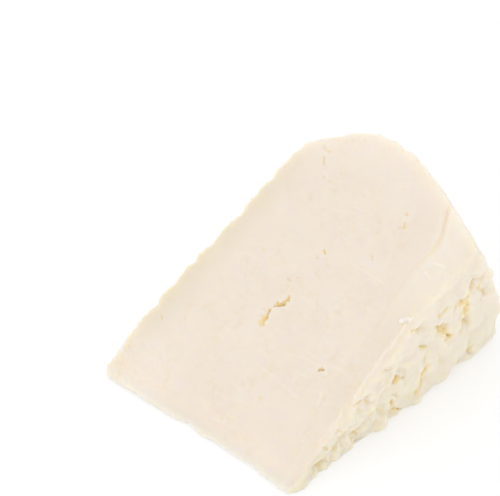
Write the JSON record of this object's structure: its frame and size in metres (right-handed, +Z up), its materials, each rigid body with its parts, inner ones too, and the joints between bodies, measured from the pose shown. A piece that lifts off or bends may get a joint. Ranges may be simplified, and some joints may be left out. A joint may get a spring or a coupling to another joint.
{
  "type": "wedge of imeretian cheese",
  "caption": "Wedge of a round fresh white cheese, lying on one cut face, with a smooth cut face, small eyes and rough pressed curds on its natural sides.",
  "frame": {"origin": "centre of the bounding box's bottom, on the surface that the wedge lies on", "axes": "+X from the thin edge, the wheel's centre line, out to the rind; +Y along the thin edge, from the rough face that the picture shows to the hidden one; +Z up from the lower cut face"},
  "size_m": [0.0916, 0.0706, 0.0514],
  "materials": {
    "fresh_cheese": "moist fresh white cheese, softly glossy, pale cream"
  },
  "bodies": {
    "root": {"cheese": "fresh_cheese"}
  },
  "joints": []
}
